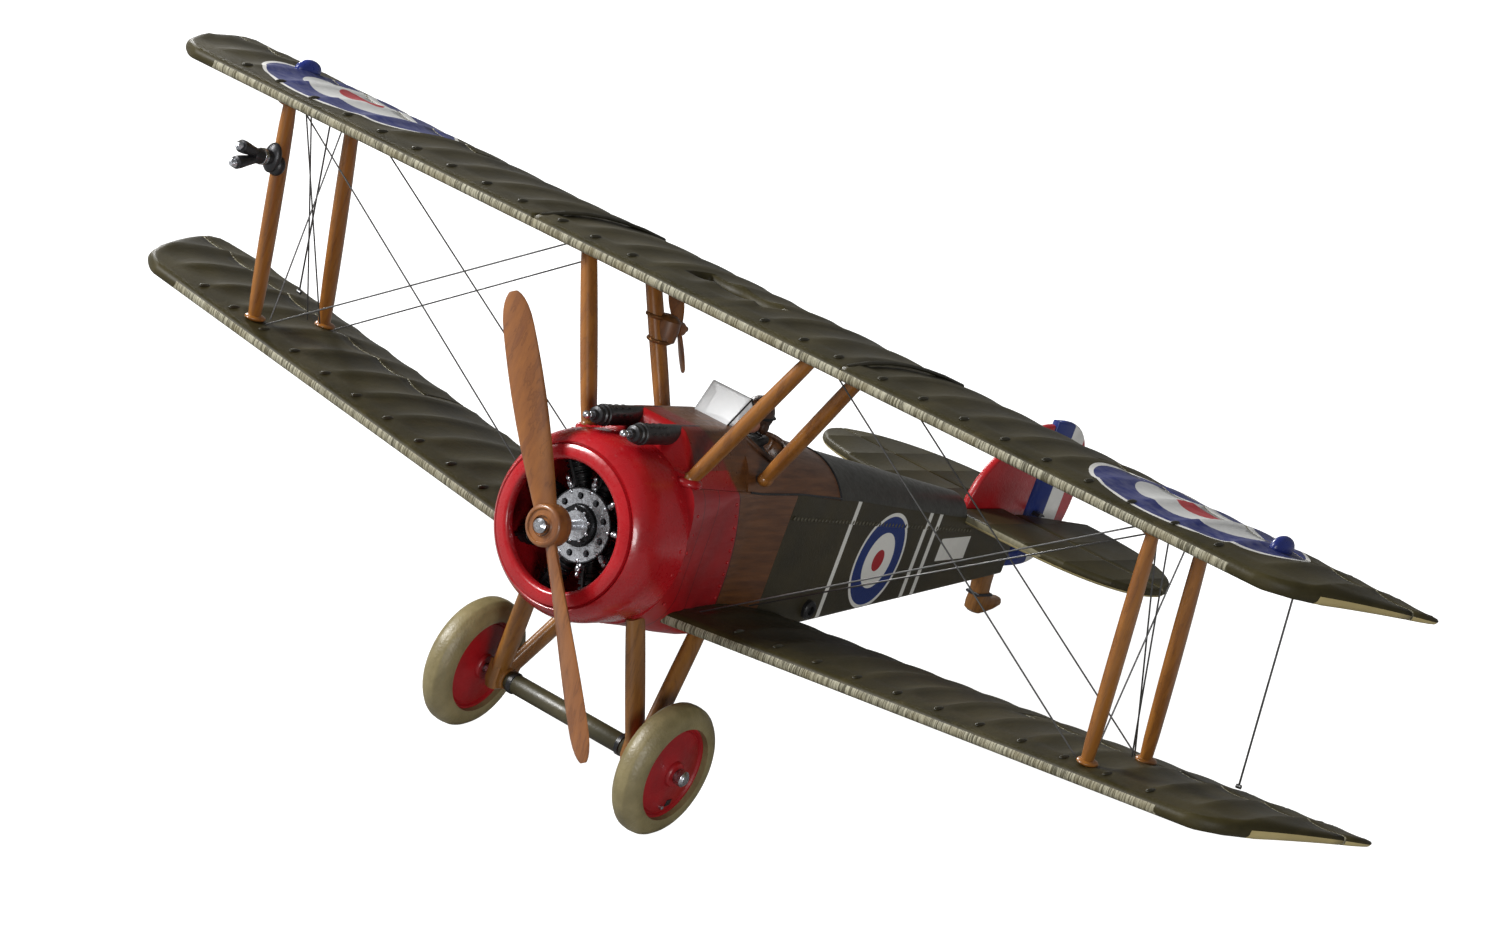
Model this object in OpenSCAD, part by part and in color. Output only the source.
// Scale model of a single-seat rotary-engined biplane, millimetres.
// Every piece is drawn nose towards -Y with the propeller axis level along Y,
// then stance() tips it back onto its wheels and tail skid.

/* [Wings] */
// Distance from one upper wing tip to the other
wing_span = 177.8; // [150:0.1:215]
// Wing chord, front to back
wing_chord = 28.6; // [24:0.1:35]
// Wing thickness as a share of the chord
wing_thick = 0.085; // [0.06:0.005:0.11]
// Height of the upper leading edge over the propeller axis
upper_z = 28.2; // [23:0.1:34]
// Distance of the upper leading edge behind the cowl lip
upper_y = 7.5; // [5:0.1:9]
// Height of the lower leading edge at the centre line
lower_z = -8.8; // [-9.5:0.1:-7.5]
// Distance of the lower leading edge behind the cowl lip
lower_y = 13.5; // [12:0.1:16]
// Upward slope of the lower wings, degrees
dihedral = 6.6; // [4:0.1:8]
// Nose-up setting of both wings, degrees
incidence = 2.3; // [1:0.1:3]
// Half width of the upper wing's centre section
centre_half = 22.6; // [19:0.1:27]
// Distance from the centre line to the interplane struts
strut_x = 63.2; // [53:0.1:76]

/* [Controls] */
// Chord of each aileron behind its hinge line
aileron_chord = 8.8; // [7:0.1:10.5]
// Length of each aileron along the wing
aileron_len = 39; // [32:0.5:47]
// Radius of every hinge pin
pin_r = 0.2; // [0.16:0.01:0.25]
// Clearance round the hinge pins, radial
pin_gap = 0.05; // [0.03:0.01:0.08]
// Clearance round every moving surface
surface_gap = 0.3; // [0.25:0.01:0.5]

/* [Fuselage] */
// Radius of the engine cowling
cowl_r = 11.1; // [9.3:0.1:13]
// Radius of the cowling's front opening
cowl_mouth_r = 7.5; // [6.3:0.1:8.9]
// Length of the cowling
cowl_len = 9.2; // [7.7:0.1:11]
// Half width of the fuselage at the cockpit
fuselage_half = 7.2; // [6.6:0.1:8.6]
// Wall of the fuselage shells
skin = 0.8; // [0.6:0.05:1]
// Distance from the cowl lip to the stern post
stern_y = 102.5; // [96:0.5:116]
// Half width of the cockpit opening
cockpit_half = 5.2; // [4.4:0.1:5.8]

/* [Engine and propeller] */
// Radius of the propeller tips
prop_r = 26.8; // [22.5:0.1:30]
// Radius of the propeller boss
boss_r = 2.45; // [2.1:0.05:2.9]
// Radius of the propeller shaft
shaft_r = 0.6; // [0.5:0.02:0.72]
// Running clearance of the propeller on its shaft, radial
shaft_gap = 0.05; // [0.03:0.01:0.09]
// Sideways lean of the resting propeller, degrees
prop_rest = 34; // [20:1:45]
// Number of engine cylinders
cylinders = 9; // [7:2:11]

/* [Undercarriage] */
// Outer radius of the tyres
wheel_r = 8.12; // [6.8:0.01:9.7]
// Radius of the tyre's section
tyre_r = 1.85; // [1.55:0.01:2.2]
// Distance from the centre line to each wheel's middle plane
wheel_x = 14.7; // [13.7:0.1:17.6]
// Distance of the axle behind the cowl lip
axle_y = 15; // [13:0.1:17]
// Depth of the axle below the propeller axis
axle_drop = 24; // [22:0.1:28]
// Radius of the axle
axle_r = 0.6; // [0.5:0.02:0.72]
// Running clearance of the wheels on the axle, radial
axle_gap = 0.05; // [0.03:0.01:0.09]

/* [Tail] */
// Half span of the tailplane
tail_half = 26.4; // [22:0.1:31]
// Height of the tailplane over the propeller axis
tail_z = 1.5; // [1.3:0.1:2]
// Distance of the elevator hinge behind the cowl lip
elevator_y = 98.3; // [96:0.1:99]
// Distance of the rudder hinge behind the stern post
rudder_back = 2.3; // [2:0.1:3]
// Thickness of the tail surfaces
tail_thick = 1.3; // [1.1:0.05:1.5]

/* [Display stand] */
// Radius of the stand socket's bore
socket_r = 1.55; // [1.3:0.05:1.9]
// Depth of the stand socket's bore
socket_len = 6; // [5:0.5:8]

/* [Hidden] */
$fn = 48;

olive = "#3c3a26";
cream = "#cfc08a";
red = "#b01a1e";
ply = "#7a4a22";
wood = "#9a5a1e";
khaki = "#8a7a55";
grey = "#4a4946";
black = "#161616";
silver = "#b9bcc0";
blue = "#1c2f6e";

half_span = wing_span / 2;
slope_span = half_span / cos(dihedral);
hinge_y = wing_chord - aileron_chord;
aileron_x = half_span - 3 - aileron_len;

// Skid foot, and the tilt at which the wheels and the skid share one floor
skid_y = stern_y - 0.9;
skid_z = -13.2;
skid_run = skid_y - axle_y;
skid_rise = skid_z + axle_drop;
tilt = atan2(skid_rise, skid_run) + asin(wheel_r / norm([skid_run, skid_rise]));
lift = wheel_r + axle_y * sin(tilt) + axle_drop * cos(tilt);

// Fore and aft ends of the model, which set where the origin lies
prop_y = -2.4;
rudder_y = stern_y + rudder_back;
rudder_chord = 11;
prop_pitch = 24;
blade_half = 1.75;
nose_reach = (prop_y - blade_half * 0.55 * sin(prop_pitch)) * cos(tilt)
    - prop_r * cos(prop_rest) * sin(tilt);
tail_reach = (rudder_y + rudder_chord) * cos(tilt) + 3.6 * sin(tilt);
mid_y = (nose_reach + tail_reach) / 2;

module stance() {
    translate([0, -mid_y, lift]) rotate([-tilt, 0, 0]) children();
}

// Draws its children as they are, or mirrored to the other side
module side(s) {
    if (s > 0) children();
    else mirror([1, 0, 0]) children();
}

// Turns a shape drawn upwards so that it points aft
module aft() {
    rotate([-90, 0, 0]) children();
}

// Turns a shape drawn upwards so that it points to port
module port() {
    rotate([0, 90, 0]) children();
}

// Extrudes a side view, drawn as length and height, symmetrically across the model
module across(width) {
    translate([-width / 2, 0, 0]) rotate([90, 0, 90]) linear_extrude(width) children();
}

// Round rod from a to b
module rod(a, b, r) {
    v = b - a;
    l = norm(v);
    translate(a) rotate([0, acos(v.z / l), atan2(v.y, v.x)]) cylinder(h = l, r = r);
}

// Streamlined strut from a up to b, its long section fore and aft
module strut(a, b, chord, thick) {
    v = b - a;
    l = norm(v);
    translate(a) rotate([asin(-v.y / l), atan2(v.x, v.z), 0])
        linear_extrude(l) lens(chord, thick);
}

// Pointed oval made of two arcs, long way along Y
module lens(chord, thick) {
    r = (chord * chord + thick * thick) / (4 * thick);
    intersection() {
        translate([r - thick / 2, 0]) circle(r = r, $fn = 96);
        translate([thick / 2 - r, 0]) circle(r = r, $fn = 96);
    }
}

// ---- wings ----

// Aerofoil: half thickness and camber at a share s of the chord
function half_thick(s) = 5 * wing_thick * wing_chord * (0.2969 * sqrt(s) - 0.126 * s
    - 0.3516 * pow(s, 2) + 0.2843 * pow(s, 3) - 0.1015 * pow(s, 4)) + 0.1 * s;
// Blunt round nose in front of the thin section
nose_half = 0.85;
function blunt(s) = let (y = s * wing_chord)
    max(half_thick(s), y < nose_half ? sqrt(max(0, 2 * nose_half * y - y * y)) : y < 4 ? nose_half : 0);
function camber(s) = 0.11 * wing_chord * s * (1 - s);
foil_steps = 16;
function station(i) = pow(i / foil_steps, 2);
foil = concat(
    [for (i = [foil_steps:-1:0]) [wing_chord * station(i), camber(station(i)) + blunt(station(i))]],
    [for (i = [1:foil_steps]) [wing_chord * station(i), camber(station(i)) - blunt(station(i))]]);

// Raked tip: how far out the wing reaches at a share s of the chord
function tip_x(end, s) = end
    - (s < 0.82 ? 8.7 * pow(1 - s / 0.82, 1.35) : 5 * pow((s - 0.82) / 0.18, 2))
    - (s < 0.1 ? 2.6 * pow(1 - s / 0.1, 2) : 0);
tip_steps = 24;

module wing_blank(root, end) {
    intersection() {
        translate([root, 0, 0]) rotate([90, 0, 90]) linear_extrude(end - root) polygon(foil);
        translate([0, 0, -4]) linear_extrude(10)
            polygon(concat([[root, wing_chord], [root, 0]],
                [for (i = [0:tip_steps]) [tip_x(end, i / tip_steps), wing_chord * i / tip_steps]]));
    }
}

hinge_share = hinge_y / wing_chord;
hinge_z = camber(hinge_share);
hinge_r = half_thick(hinge_share);
lug_x = [aileron_x + 9, aileron_x + 29];
lug_w = 1.2;

// Space that an aileron takes out of its wing, or, with no gap, the aileron's own outline
module aileron_zone(gap) {
    translate([aileron_x - gap, hinge_y, -4]) cube([60, 20, 10]);
    translate([aileron_x - gap, hinge_y, hinge_z]) port() cylinder(h = 60, r = hinge_r + gap);
}

module aileron_lugs(gap) {
    for (x = lug_x) translate([x - lug_w / 2 - gap, hinge_y - hinge_r - 0.8 - gap, hinge_z - 0.45 - gap])
        cube([lug_w + 2 * gap, hinge_r + 1.25 + 2 * gap, 0.9 + 2 * gap]);
}

module aileron_pin(extra) {
    translate([aileron_x + 3, hinge_y, hinge_z]) port() cylinder(h = 30, r = pin_r + extra);
}

module fixed_wing(root, end) {
    difference() {
        wing_blank(root, end);
        aileron_zone(surface_gap);
    }
    difference() {
        aileron_lugs(0);
        aileron_pin(0);
    }
}

module aileron(end) {
    difference() {
        intersection() {
            wing_blank(aileron_x - 1, end);
            aileron_zone(0);
        }
        aileron_lugs(0.15);
        aileron_pin(pin_gap);
    }
}

module on_upper(s) {
    side(s) translate([0, upper_y, upper_z]) rotate([-incidence, 0, 0]) children();
}

module on_lower(s) {
    side(s) translate([0, lower_y, lower_z]) rotate([0, -dihedral, 0]) rotate([-incidence, 0, 0]) children();
}

// Points on the wings in the level frame, at x from the centre and y behind the leading edge
function on_low(x, y, up) = [x, lower_y + y, lower_z + x * tan(dihedral) - y * sin(incidence) + up];
function on_up(x, y, up) = [x, upper_y + y, upper_z - y * sin(incidence) + up];
// Surfaces of the wing over and under the chord line
function over(y) = camber(y / wing_chord) + blunt(y / wing_chord);
function under(y) = camber(y / wing_chord) - blunt(y / wing_chord);

module upper_wing_centre() {
    color(olive) stance() on_upper(1) difference() {
        translate([-centre_half, 0, 0]) rotate([90, 0, 90])
            linear_extrude(2 * centre_half) polygon(foil);
        // view slot over the cockpit and cut-out in the trailing edge
        translate([-5.5, 8, -4]) cube([11, 5, 12]);
        translate([0, wing_chord + 1.5, -4]) scale([1.6, 1, 1]) cylinder(h = 12, r = 5);
    }
}

module upper_wing(s) {
    color(olive) stance() on_upper(s) fixed_wing(centre_half, half_span);
}

module lower_wing(s) {
    color(olive) stance() difference() {
        on_lower(s) fixed_wing(5, slope_span);
        fuselage_block(0);
    }
}

module aileron_upper(s) {
    color(olive) stance() on_upper(s) aileron(half_span);
}

module aileron_lower(s) {
    color(olive) stance() on_lower(s) aileron(slope_span);
}

module aileron_hinge_pins() {
    color(silver) stance() for (s = [-1, 1]) {
        on_upper(s) aileron_pin(0);
        on_lower(s) aileron_pin(0);
    }
}

// Pulley fairings on the upper wings
fairing_x = strut_x + 9.3;
fairing_y = 15.5;
module aileron_fairings() {
    color(blue) stance() for (s = [-1, 1]) on_upper(s) difference() {
        translate([fairing_x, fairing_y, over(fairing_y) - 0.3]) linear_extrude(1.6) lens(4.4, 2);
        wing_blank(fairing_x - 5, half_span);
    }
}

// Rods that tie each lower aileron to the upper one
link_x = strut_x + 9.3;
link_back = hinge_y + 2.6;
link_r = 0.12;
module aileron_link(s) {
    a = on_low(link_x, link_back, over(link_back) + 0.35);
    b = on_up(link_x, link_back, under(link_back) - 0.55);
    color(grey) stance() side(s) union() {
        rod(a, b, link_r);
        translate(a) rotate([0, 90 - dihedral, 0]) translate([0, 0, -0.3]) cylinder(h = 0.6, r = 0.25);
        translate(b) rotate([0, 90 - dihedral, 0]) translate([0, 0, -0.3]) cylinder(h = 0.6, r = 0.22);
    }
}

// ---- struts and wires ----

strut_chord = 2.5;
strut_thick = 1.5;
front_up = 2.8;
front_low = 3.4;
rear_up = 15.5;
rear_low = min(17.4, hinge_y - 2.4);

module interplane_struts(s) {
    color(wood) stance() difference() {
        side(s) union() {
            strut(on_low(strut_x, front_low, 0.4), on_up(strut_x + 0.5, front_up, 0.4), strut_chord, strut_thick);
            strut(on_low(strut_x, rear_low, 0.6), on_up(strut_x + 0.5, rear_up, 0.4), strut_chord, strut_thick);
        }
        on_lower(s) wing_blank(strut_x - 6, slope_span);
        on_upper(s) wing_blank(strut_x - 6, half_span);
        on_lower(s) translate([strut_x - 6, -1, -3]) cube([12, 24, 3]);
    }
}

cabane_foot_x = fuselage_half + 0.5;
cabane_top_x = centre_half - 5.7;
cabane_front_y = 10.4;
cabane_rear_y = 25.8;
cabane_foot_z = 9;

module cabane_pair(y0, y_up) {
    color(wood) stance() difference() {
        for (s = [-1, 1]) side(s)
            strut([cabane_foot_x, y0, cabane_foot_z], on_up(cabane_top_x, y_up, 0.4), 2.3, 1.5);
        on_upper(1) wing_blank(-centre_half, half_span);
        fuselage_block(0);
        decking_block(0);
        hump_block();
        cowl_block();
    }
}

module cabane_struts_front() {
    cabane_pair(cabane_front_y, 4);
}

module cabane_struts_rear() {
    cabane_pair(cabane_rear_y, 17);
}

wire_r = 0.1;
module rigging(s) {
    color(grey) stance() difference() {
        side(s) rigging_rods();
        on_lower(s) wing_blank(5, slope_span);
        on_upper(s) wing_blank(0, half_span);
    }
}

module rigging_rods() {
    foot_f = on_low(strut_x - 1.6, front_low + 0.4, over(front_low + 0.4));
    foot_r = on_low(strut_x - 1.6, rear_low, over(rear_low));
    top_f = on_up(strut_x - 1.2, front_up + 0.6, under(front_up + 0.6));
    top_r = on_up(strut_x - 1.2, rear_up, under(rear_up));
    // flying wires up from the wing root, landing wires down from the centre section
    rod(on_low(10.5, 4, over(4)), top_f, wire_r);
    rod(on_low(8.2, 18, over(18)), top_r, wire_r);
    rod(on_up(cabane_top_x + 2.2, 4.6, under(4.6)), foot_f, wire_r);
    rod(on_up(cabane_top_x + 2.2, 17, under(17)), foot_r, wire_r);
    // bracing across each pair of interplane struts
    rod(foot_f + [1, 1.8, 0], top_r + [1, -1.8, 0.05], wire_r);
    rod(foot_r + [1, -1.8, 0.1], top_f + [1, 1.8, 0], wire_r);
    rod(foot_r + [1.6, -3.6, 0.1], top_f + [1.6, 3.6, 0], wire_r);
}

// ---- fuselage ----

// Half width, top edge and bottom edge of the fuselage along its length
function half_w(y) = lookup(y, [[cowl_len, cowl_r - 0.5], [14, cowl_r - 1.7], [20, fuselage_half + 1],
    [27, fuselage_half + 0.1], [36, fuselage_half - 0.05], [stern_y, 1.2]]);
function top_z(y) = lookup(y, [[cowl_len, 8.7], [18, 7.8], [27, 7.1], [36, 6.9], [52, 5.7],
    [75, 3.1], [stern_y, 0.1]]);
function bottom_z(y) = lookup(y, [[cowl_len, -cowl_r + 0.1], [46, -10.9], [stern_y, -7.2]]);
stations = [cowl_len, 14, 20, 27, 36, 52, 75, stern_y];
last = len(stations) - 1;
split_y = 35.3;

// Solid body of the fuselage, shrunk by inset all round
module fuselage_block(inset) {
    intersection() {
        translate([0, 0, -15]) linear_extrude(30) polygon(concat(
            [for (y = stations) [half_w(y) - inset, y]],
            [for (i = [last:-1:0]) [-half_w(stations[i]) + inset, stations[i]]]));
        across(40) polygon(concat(
            [for (y = stations) [y, bottom_z(y) + inset]],
            [for (i = [last:-1:0]) [stations[i], top_z(stations[i]) + (inset > 0 ? 4 : 0)]]));
        translate([0, cowl_len, 0]) aft() cylinder(h = 100, r1 = cowl_r, r2 = cowl_r + 11);
        // flat seat under the tailplane
        union() {
            translate([-20, 0, -20]) cube([40, 85, 40]);
            translate([-20, 0, -20]) cube([40, 130, 20 + tail_z - tail_thick / 2]);
        }
    }
}

module fuselage_front() {
    color(red) stance() difference() {
        intersection() {
            fuselage_block(0);
            translate([-20, 0, -20]) cube([40, split_y, 40]);
        }
        intersection() {
            fuselage_block(skin);
            translate([-20, cowl_len + 1.4, -20]) cube([40, 100, 40]);
        }
        translate([0, 30, -15]) cylinder(h = 10, r = socket_r + 1);
    }
}

module fuselage_rear() {
    color(olive) stance() difference() {
        intersection() {
            fuselage_block(0);
            translate([-20, split_y, -20]) cube([40, 100, 40]);
        }
        intersection() {
            fuselage_block(skin);
            translate([-20, 0, -20]) cube([40, 84, 40]);
        }
    }
}

// Arched decking: its top height and arch radius at the cockpit, behind it and at the tail
arch_r = fuselage_half + 0.34;
deck_front_y = 24;
deck_mid_y = 46.3;
deck_end_y = 85;
deck_front_z = 5.8;
deck_mid_z = 2.2;
deck_end_z = 1.2;
end_r = 3;

// Tapered round bar between two heights on the centre line
module deck_bar(y0, z0, r0, y1, z1, r1) {
    a = atan2(z1 - z0, y1 - y0);
    translate([0, y0, z0]) rotate([a, 0, 0]) aft()
        cylinder(h = norm([y1 - y0, z1 - z0]), r1 = r0, r2 = r1);
}

// Everything over the fuselage's top edge
module over_fuselage(y0, y1) {
    across(40) polygon(concat([[y1, 20], [y0, 20], [y0, top_z(y0)]],
        [for (y = stations) if (y > y0 && y < y1) [y, top_z(y)]], [[y1, top_z(y1)]]));
}

module decking_block(inset) {
    intersection() {
        deck_bar(deck_front_y - 4, deck_front_z + 0.65, arch_r - inset,
            deck_mid_y + 4, deck_mid_z - 0.65, arch_r - inset);
        over_fuselage(deck_front_y, deck_mid_y);
    }
}

module cockpit_decking() {
    color(ply) stance() difference() {
        decking_block(0);
        intersection() {
            deck_bar(deck_front_y - 4, deck_front_z + 0.65, arch_r - skin,
                deck_mid_y + 4, deck_mid_z - 0.65, arch_r - skin);
            translate([-20, deck_front_y + 0.8, 0]) cube([40, 100, 20]);
        }
        translate([0, 31, 0]) scale([cockpit_half / 6.4, 1, 1]) cylinder(h = 30, r = 6.4);
    }
}

module rear_decking() {
    color(grey) stance() difference() {
        intersection() {
            deck_bar(deck_mid_y, deck_mid_z, arch_r, deck_end_y, deck_end_z, end_r);
            over_fuselage(deck_mid_y, deck_end_y);
        }
        intersection() {
            deck_bar(deck_mid_y - 1, deck_mid_z, arch_r - skin, deck_end_y, deck_end_z, end_r - skin);
            translate([-20, deck_mid_y - 5, 0]) cube([40, deck_end_y - deck_mid_y, 20]);
        }
    }
}

// Humped fairing over the guns' breeches
hump_z = 13.6;
hump_half = 3.2;
module hump_block() {
    intersection() {
        translate([0, cowl_len, 0]) aft() linear_extrude(deck_front_y - cowl_len) polygon([
            [-cowl_r, -7], [-6.2, -11.6], [-hump_half, -hump_z], [hump_half, -hump_z], [6.2, -11.6], [cowl_r, -7]]);
        over_fuselage(cowl_len, deck_front_y);
        across(40) polygon([[cowl_len, 5], [cowl_len, cowl_r - 0.1], [11.3, hump_z],
            [deck_front_y, hump_z], [deck_front_y, 5]]);
        translate([0, 0, -15]) linear_extrude(40) polygon(concat(
            [for (y = stations) if (y < 30) [half_w(y), y]],
            [for (i = [3:-1:0]) [-half_w(stations[i]), stations[i]]]));
    }
}

gun_x = 2.75;
gun_z = cowl_r + 1.3;
gun_r = 1.2;
module gun_hump() {
    color(red) stance() difference() {
        hump_block();
        // troughs that the guns lie in
        for (s = [-1, 1]) translate([s * gun_x, 0, gun_z]) aft() cylinder(h = 17, r = gun_r);
        translate([-6, cowl_len + 1.5, 5]) cube([12, deck_front_y - cowl_len - 2.5, 5.5]);
    }
}

module gun(s) {
    color(black) stance() translate([s * gun_x, 0, gun_z]) union() {
        translate([0, 3.2, 0]) aft() cylinder(h = 13.8, r = gun_r);
        translate([0, 2.2, 0]) aft() cylinder(h = 1.1, r = 0.75);
        translate([0, 1.2, 0]) aft() cylinder(h = 1.2, r = 0.4);
    }
}

screen_y = 22.5;
module windscreen() {
    color([0.85, 0.9, 0.92, 0.5]) stance() difference() {
        translate([0, screen_y, hump_z]) rotate([-36, 0, 0]) union() {
            translate([-2.7, 0, -0.6]) cube([5.4, 0.35, 4.6]);
            translate([-2.7, 0, -0.6]) cube([0.35, 1.2, 4.6]);
            translate([2.35, 0, -0.6]) cube([0.35, 1.2, 4.6]);
        }
        hump_block();
        decking_block(0);
    }
}

head_y = 32;
head_z = 14;
module pilot_head() {
    color(ply) stance() union() {
        translate([0, head_y, head_z]) scale([0.9, 1.05, 1.1]) sphere(r = 2.05);
        translate([0, head_y + 0.2, head_z - 3.4]) cylinder(h = 2.4, r = 1);
    }
}

seat_z = -1;
module pilot_torso() {
    color(black) stance() difference() {
        union() {
            translate([0, head_y + 0.3, seat_z + 0.8]) scale([1.25, 0.75, 1]) cylinder(h = head_z - 5.2 - seat_z, r = 3);
            translate([0, head_y + 0.3, head_z - 4.4]) scale([1.25, 0.75, 0.45]) sphere(r = 3);
        }
        translate([0, head_y + 0.2, head_z - 3.4]) cylinder(h = 2.4, r = 1);
    }
}

module cockpit_seat() {
    color(ply) stance() intersection() {
        union() {
            translate([-10, 25, seat_z]) cube([20, 13, 0.8]);
            translate([-3.6, head_y + 3, seat_z + 0.8]) cube([7.2, 0.8, 7]);
            // legs down to the belly
            for (x = [-3, 3]) translate([x - 0.5, head_y - 1, -12]) cube([1, 1, 12 + seat_z]);
        }
        fuselage_block(skin);
    }
}

// ---- cowling, engine, propeller ----

lip_r = cowl_r - cowl_mouth_r;
module cowl_block() {
    translate([0, -0.1, 0]) aft() cylinder(h = cowl_len + 0.1, r = cowl_r);
}

module cowling() {
    color(red) stance() aft() rotate_extrude($fn = 96) union() {
        // rounded front lip
        intersection() {
            translate([cowl_mouth_r + 0.35, 0.45]) circle(r = 0.45);
            square([30, 3]);
        }
        difference() {
            intersection() {
                translate([cowl_r - lip_r + 0.35, lip_r + 0.2]) circle(r = lip_r - 0.35);
                square([cowl_r + 1, lip_r + 0.2]);
            }
            translate([cowl_r - lip_r + 0.35, lip_r + 0.2]) circle(r = lip_r - 0.35 - skin);
            translate([0, 0]) square([cowl_mouth_r + 0.1, 10]);
        }
        translate([cowl_r - skin, lip_r + 0.19]) square([skin, cowl_len - lip_r - 0.19]);
    }
}

plate_y = 3.6;
case_r = 2.7;
ring_r = 4.3;
module engine_crankcase() {
    color(silver) stance() {
        difference() {
            union() {
                translate([0, plate_y, 0]) aft() cylinder(h = 0.9, r = ring_r);
                translate([0, plate_y - 0.8, 0]) aft() cylinder(h = 0.9, r = 2.3);
                translate([0, plate_y + 0.9, 0]) aft() cylinder(h = cowl_len - plate_y - 0.9, r = case_r);
                for (i = [0:cylinders - 1]) rotate([0, i * 360 / cylinders, 0])
                    translate([0, plate_y + 0.45, ring_r - 0.2]) cylinder(h = 0.9, r = 0.36);
            }
            for (i = [0:cylinders - 1]) rotate([0, (i + 0.5) * 360 / cylinders, 0])
                translate([0, plate_y - 1, 3.35]) aft() cylinder(h = 3, r = 0.42);
        }
        // shaft that the propeller turns on
        translate([0, prop_y - boss_len / 2 - 0.1, 0]) aft() cylinder(h = plate_y - prop_y + boss_len / 2 - 0.6, r = shaft_r);
    }
}

cylinder_top = cowl_r - skin - 0.4;
fin_pitch = (cylinder_top - 5.1) / 6;
module engine_cylinders() {
    color(black) stance() difference() {
        for (i = [0:cylinders - 1]) rotate([0, i * 360 / cylinders, 0]) {
            translate([0, 6.3, 1]) cylinder(h = cylinder_top - 1, r = 0.95);
            for (k = [0:6]) translate([0, 6.3, 3.9 + k * fin_pitch]) cylinder(h = 0.35, r = 1.3);
        }
        translate([0, 2, 0]) aft() cylinder(h = 12, r = case_r);
        translate([0, 2, 0]) aft() cylinder(h = plate_y - 2 + 0.9, r = 6);
    }
}

boss_len = 2.6;
module propeller() {
    color(wood) stance() rotate([0, -prop_rest, 0]) difference() {
        union() {
            translate([0, prop_y - boss_len / 2, 0]) aft() cylinder(h = boss_len, r = boss_r);
            for (t = [0, 180]) rotate([0, t, 0]) translate([0, prop_y, 0]) rotate([0, 0, prop_pitch])
                intersection() {
                    scale([1, 0.3, 1]) cylinder(h = prop_r, r = 2.3);
                    across_blade();
                }
        }
        translate([0, prop_y - 5, 0]) aft() cylinder(h = 10, r = shaft_r + shaft_gap);
        // recess round the pin head
        translate([0, prop_y - boss_len / 2 - 1, 0]) aft() cylinder(h = 1.35, r = 1.15);
    }
}

// Outline of one blade, seen from the front, rising along Z
blade_steps = 14;
function blade_edge(t) = t < 0.85 ? 1.05 + 0.8 * sin(180 * min(t / 0.85, 1) * 0.72)
    : (1.05 + 0.8 * sin(129.6)) * sqrt(max(0, 1 - pow((t - 0.85) / 0.15, 2)));
module across_blade() {
    translate([0, 5, 0]) rotate([90, 0, 0]) linear_extrude(10) polygon(concat(
        [for (i = [0:blade_steps]) [blade_edge(i / blade_steps), prop_r * i / blade_steps]],
        [for (i = [blade_steps - 1:-1:0]) [-blade_edge(i / blade_steps), prop_r * i / blade_steps]]));
}

// Pin head that keeps the propeller on its shaft
module propeller_pin() {
    color(silver) stance() translate([0, prop_y - boss_len / 2 - 0.1, 0]) rotate([90, 0, 0]) union() {
        cylinder(h = 0.3, r = 0.85);
        translate([0, 0, 0.3]) cylinder(h = 0.35, r1 = 0.85, r2 = 0.45);
    }
}

// ---- undercarriage ----

leg_x = wheel_x - 4.2;
leg_w = 1.5;
fairing_half = leg_x - 0.9;
leg_top_x = min(fuselage_half, 0.65 * cowl_r);
leg_top_z = 0.85 - sqrt(cowl_r * cowl_r - leg_top_x * leg_top_x);
leg_rear_z = bottom_z(24.5) + 1.46;
module axle_line(r, half) {
    translate([-half, axle_y, -axle_drop]) port() cylinder(h = 2 * half, r = r);
}

module undercarriage(s) {
    color(wood) stance() difference() {
        side(s) union() {
            strut([leg_x, axle_y - 0.4, -axle_drop + 0.4], [leg_top_x, cowl_len + 0.9, leg_top_z], 3, 1.6);
            strut([leg_x, axle_y + 0.8, -axle_drop + 0.6], [fuselage_half - 0.2, 24.5, leg_rear_z], 2.8, 1.5);
            translate([leg_x - leg_w / 2, axle_y - 1.7, -axle_drop - 1.5]) cube([leg_w, 3.4, 3.6]);
            translate([leg_x - leg_w / 2 - 0.3, axle_y - 1.1, -axle_drop - 1.1]) cube([leg_w + 0.6, 2.2, 2.2]);
        }
        fuselage_block(0);
        cowl_block();
        on_lower(s) wing_blank(5, slope_span);
        axle_line(axle_r, 30);
    }
}

module axle() {
    color(grey) stance() axle_line(axle_r, wheel_x + 2.3);
}

module axle_fairing() {
    color(olive) stance() difference() {
        axle_line(1.15, fairing_half - 0.2);
        axle_line(axle_r, 30);
    }
}

module axle_caps() {
    color(silver) stance() for (s = [-1, 1]) side(s)
        translate([wheel_x + 2.3, axle_y, -axle_drop]) port() union() {
            cylinder(h = 0.7, r = 0.95);
            translate([0, 0, 0.7]) cylinder(h = 0.3, r1 = 0.95, r2 = 0.6);
        }
}

rim_r = wheel_r - 1.3 * tyre_r;
hub_half = 1.9;
module on_wheel(s) {
    side(s) translate([wheel_x, axle_y, -axle_drop]) port() children();
}

module wheel_disc(s) {
    color(red) stance() on_wheel(s) rotate_extrude($fn = 96) polygon([
        [axle_r + axle_gap, -hub_half], [1.5, -hub_half], [1.9, -1.5], [rim_r, -0.75],
        [rim_r, 0.75], [1.9, 1.5], [1.5, hub_half], [axle_r + axle_gap, hub_half]]);
}

module tyre(s) {
    color(khaki) stance() on_wheel(s) difference() {
        rotate_extrude($fn = 96) translate([wheel_r - tyre_r, 0]) circle(r = tyre_r);
        translate([0, 0, -3]) cylinder(h = 6, r = rim_r);
    }
}

// ---- tail ----

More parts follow.
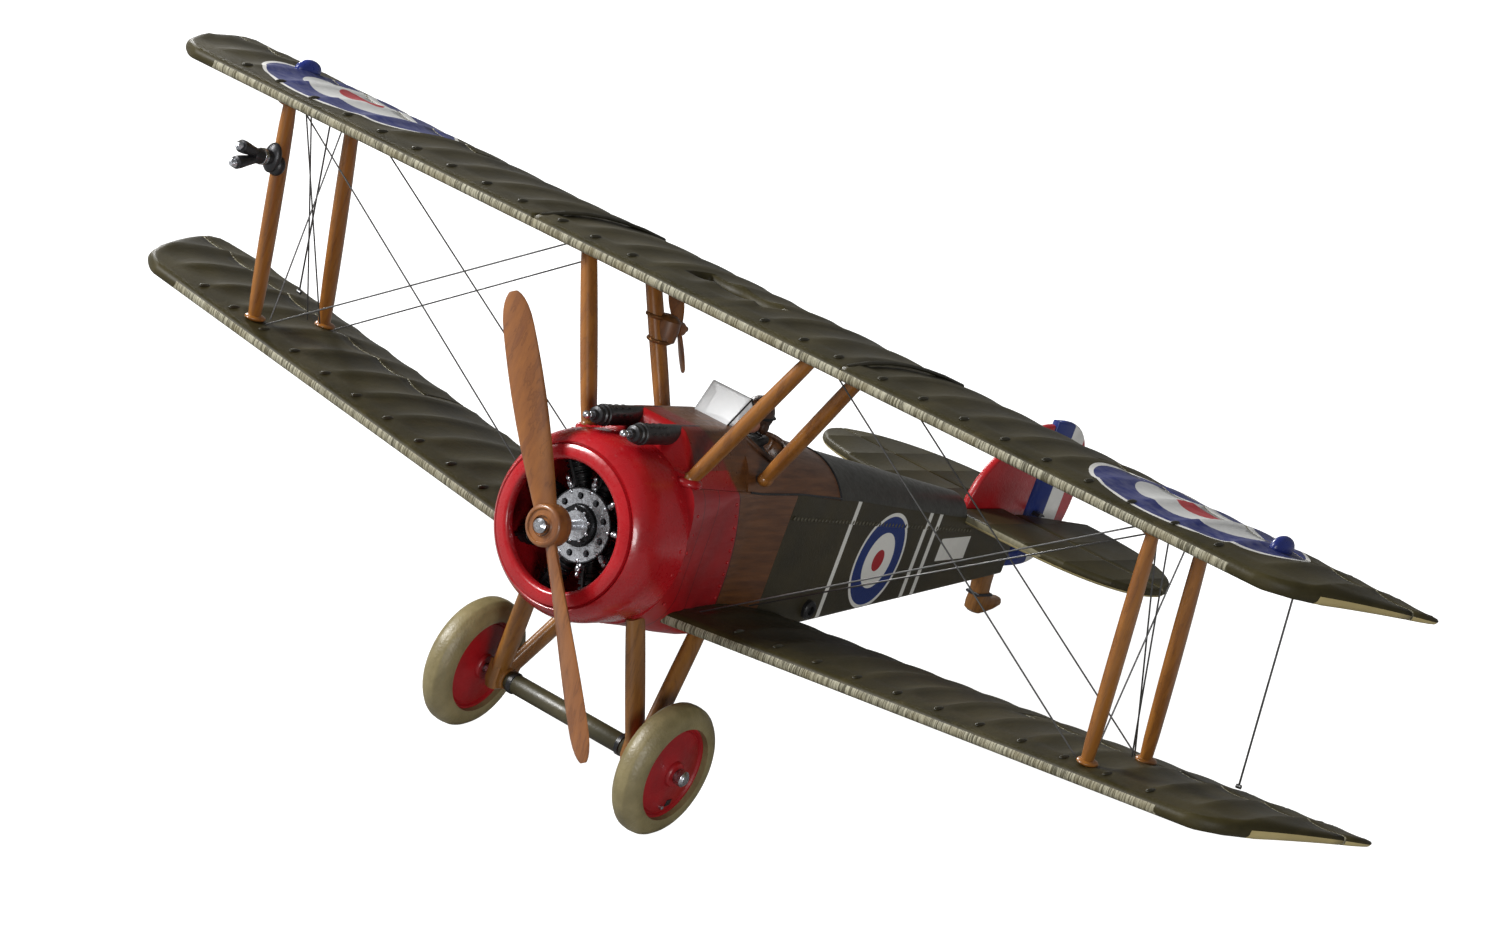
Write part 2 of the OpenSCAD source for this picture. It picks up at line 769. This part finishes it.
tail_front = 85.2;
elevator_back = 111.6;
elevator_root = 2.3;
elevator_r = tail_thick / 2;

// Outline of the whole horizontal tail on one side: straight front, rounded tip
function tail_x(s) = tail_half * pow(sin(180 * pow(s, 0.8)), 0.28);
tail_steps = 22;
module tail_outline() {
    depth = elevator_back - tail_front;
    linear_extrude(10) polygon(concat([[0, tail_front]],
        [for (i = [1:tail_steps - 1]) [min(tail_half, tail_x(i / tail_steps)), tail_front + depth * i / tail_steps]],
        [[0, elevator_back]]));
}

// Flat plate with slightly rounded front and back
module tail_slab() {
    across(80) polygon([[tail_front, 0], [tail_front + 0.5, elevator_r * 0.8], [tail_front + 2, elevator_r],
        [elevator_y + 2, elevator_r], [elevator_back, 0.2], [elevator_back, -0.2], [elevator_y + 2, -elevator_r],
        [tail_front + 2, -elevator_r], [tail_front + 0.5, -elevator_r * 0.8]]);
}

module on_tail() {
    translate([0, 0, tail_z]) children();
}

module tailplane() {
    color(olive) stance() on_tail() difference() {
        intersection() {
            tail_slab();
            union() {
                for (s = [-1, 1]) side(s) translate([0, 0, -5]) tail_outline();
            }
        }
        translate([-40, elevator_y, -5]) cube([80, 30, 10]);
        translate([-40, elevator_y, 0]) port() cylinder(h = 80, r = elevator_r + surface_gap);
        translate([-fin_half, tail_front - 1, -5]) cube([2 * fin_half, 30, 10]);
        for (s = [-1, 1]) side(s) elevator_lugs(0);
    }
}

module elevator_pin(extra) {
    translate([-20, elevator_y, 0]) port() cylinder(h = 40, r = pin_r + extra);
}

elevator_lug_x = [7, 17];
module elevator_lugs(gap) {
    for (x = elevator_lug_x) translate([x - 0.6 - gap, elevator_y - elevator_r - 0.7 - gap, -0.4 - gap])
        cube([1.2 + 2 * gap, elevator_r + 1.1 + 2 * gap, 0.8 + 2 * gap]);
}

module elevator(s) {
    color(olive) stance() on_tail() side(s) difference() {
        intersection() {
            tail_slab();
            translate([0, 0, -5]) tail_outline();
            union() {
                translate([0, elevator_y, -5]) cube([40, 30, 10]);
                translate([0, elevator_y, 0]) port() cylinder(h = 40, r = elevator_r);
            }
            // inner edge cut back to clear the rudder
            translate([0, 0, -5]) linear_extrude(10) polygon([[elevator_root, elevator_y - 3],
                [elevator_root, elevator_y + 1], [5.8, elevator_back], [40, elevator_back], [40, elevator_y - 3]]);
        }
        elevator_lugs(0.15);
        elevator_pin(pin_gap);
    }
}

// Pins and lugs of the elevators, and the rudder's pin
module tail_hinge_pins() {
    color(silver) stance() {
        on_tail() difference() {
            elevator_pin(0);
            translate([-fin_half, elevator_y - 5, -5]) cube([2 * fin_half, 10, 10]);
        }
        on_tail() for (s = [-1, 1]) side(s) difference() {
            elevator_lugs(0);
            translate([0, elevator_y, 0]) port() cylinder(h = 40, r = pin_r);
        }
        translate([0, rudder_y, rudder_low + 1.5]) cylinder(h = rudder_high - rudder_low - 6, r = pin_r);
        // lugs from the stern post
        for (z = rudder_lug_z) difference() {
            translate([-0.45, stern_y, z]) cube([0.9, rudder_back + 0.5, 0.9]);
            translate([0, rudder_y, z - 1]) cylinder(h = 3, r = pin_r);
        }
    }
}

fin_half = 0.6;
rudder_low = -6.4;
rudder_high = 14.4;
rudder_lug_z = [-3.4, -0.6];
post_r = fin_half;

module fin_side(points) {
    across(2 * fin_half) polygon(points);
}

fin_steps = 12;
module fin() {
    base = tail_z - tail_thick / 2;
    reach = rudder_y - post_r - surface_gap - 88.6;
    color(red) stance() difference() {
        fin_side(concat([[88.6, base]],
            [for (i = [0:fin_steps]) [88.6 + reach * i / fin_steps, 3.4 + 10.4 * pow(sin(90 * i / fin_steps), 0.85)]],
            [[88.6 + reach, base]]));
        translate([-5, elevator_y, tail_z]) port() cylinder(h = 10, r = pin_r);
    }
}

// Rudder outline, from its foot round the trailing edge to its top
rudder_steps = 24;
module rudder() {
    mid = (rudder_low + rudder_high) / 2;
    tall = (rudder_high - rudder_low) / 2;
    color(blue) stance() difference() {
        union() {
            fin_side([for (i = [0:rudder_steps]) [
                rudder_y + rudder_chord * pow(abs(cos(180 * i / rudder_steps - 90)), 0.62),
                mid + tall * sin(180 * i / rudder_steps - 90)]]);
            translate([0, rudder_y, rudder_low + 0.3]) cylinder(h = rudder_high - rudder_low - 1.2, r = post_r);
        }
        for (z = rudder_lug_z) translate([-5, rudder_y - 2, z - 0.15]) cube([10, 2.75, 1.2]);
        translate([0, rudder_y, -20]) cylinder(h = 40, r = pin_r + pin_gap);
    }
}

module tail_skid() {
    color(wood) stance() difference() {
        union() {
            across(1.7) polygon([[skid_y - 3, -6.5], [skid_y + 0.2, -6.5], [skid_y + 0.8, -9.8],
                [skid_y + 2.6, -10.9], [skid_y + 4.6, -10.9], [skid_y + 4.9, -12], [skid_y + 3.4, -12.6],
                [skid_y, skid_z], [skid_y - 2, -12.6], [skid_y - 2.2, -10.4]]);
        }
        fuselage_block(0);
    }
}

// ---- fittings ----

module pitot_head() {
    p = on_up(strut_x, front_up, -7.6);
    color(grey) stance() side(-1) translate([p.x, p.y + 0.6, p.z]) difference() {
        union() {
            translate([-1.1, -2, -0.9]) cube([2.2, 2.6, 1.8]);
            translate([0, -4.2, 0]) aft() cylinder(h = 3.4, r = 0.85);
            for (a = [-1, 1]) translate([0.3 * a, -3.6, 0.35 * a]) rotate([90 + a * -14, 0, 0]) {
                cylinder(h = 3, r1 = 0.55, r2 = 0.8);
                translate([0, 0, 3]) cylinder(h = 1.2, r1 = 0.8, r2 = 0.4);
            }
            translate([0.6, -0.4, 0]) rotate([0, 0, 20]) port() cylinder(h = 0.6, r = 1.4);
        }
        translate([-p.x, -p.y - 0.6, -p.z]) strut(on_low(strut_x, front_low, 0.4),
            on_up(strut_x + 0.5, front_up, 0.4), strut_chord, strut_thick);
    }
}

pump_rise = 10.6;
pump_share = pump_rise / (upper_z - cabane_foot_z);
pump_x = cabane_foot_x + (cabane_top_x - cabane_foot_x) * pump_share;
pump_y = cabane_rear_y + (upper_y + 17 - cabane_rear_y) * pump_share;
pump_z = cabane_foot_z + pump_rise;
module pump_body() {
    color(ply) stance() side(-1) difference() {
        translate([pump_x, pump_y, pump_z]) union() {
            translate([0, 0.2, -1.2]) cylinder(h = 2.6, r = 1.7);
            translate([0, 0.4, 0]) aft() cylinder(h = 3, r = 1.3);
            translate([0, 3.4, 0]) aft() cylinder(h = 2.3, r = 0.35);
        }
        strut([cabane_foot_x, cabane_rear_y, cabane_foot_z], on_up(cabane_top_x, 17, 0.4), 2.3, 1.5);
    }
}

module pump_propeller() {
    color(wood) stance() side(-1) translate([pump_x, pump_y + 3.7, pump_z]) difference() {
        union() {
            aft() cylinder(h = 1.6, r = 0.85);
            for (t = [30, 210]) rotate([0, t, 0]) translate([0, 0.8, 0]) rotate([0, 0, 35])
                scale([1, 0.35, 1]) cylinder(h = 5.3, r = 0.85);
        }
        translate([0, -1, 0]) aft() cylinder(h = 5, r = 0.4);
    }
}

module stand_socket() {
    color(grey) stance() difference() {
        translate([0, 30, bottom_z(30)]) cylinder(h = socket_len + 1, r = socket_r + 1);
        translate([0, 30, bottom_z(30) - 1]) cylinder(h = socket_len + 1, r = socket_r);
    }
}

cowling();
engine_crankcase();
engine_cylinders();
propeller();
propeller_pin();
fuselage_front();
fuselage_rear();
gun_hump();
cockpit_decking();
rear_decking();
gun(1);  // gun_left
gun(-1);  // gun_right
windscreen();
pilot_head();
pilot_torso();
cockpit_seat();
upper_wing_centre();
upper_wing(1);  // upper_wing_left
upper_wing(-1);  // upper_wing_right
lower_wing(1);  // lower_wing_left
lower_wing(-1);  // lower_wing_right
aileron_upper(1);  // aileron_upper_left
aileron_upper(-1);  // aileron_upper_right
aileron_lower(1);  // aileron_lower_left
aileron_lower(-1);  // aileron_lower_right
aileron_fairings();
aileron_hinge_pins();
aileron_link(1);  // aileron_link_left
aileron_link(-1);  // aileron_link_right
interplane_struts(1);  // interplane_struts_left
interplane_struts(-1);  // interplane_struts_right
cabane_struts_front();
cabane_struts_rear();
rigging(1);  // rigging_left
rigging(-1);  // rigging_right
undercarriage(1);  // undercarriage_left
undercarriage(-1);  // undercarriage_right
axle();
axle_fairing();
axle_caps();
wheel_disc(1);  // wheel_disc_left
wheel_disc(-1);  // wheel_disc_right
tyre(1);  // tyre_left
tyre(-1);  // tyre_right
tailplane();
elevator(1);  // elevator_left
elevator(-1);  // elevator_right
tail_hinge_pins();
fin();
rudder();
tail_skid();
pitot_head();
pump_body();
pump_propeller();
stand_socket();
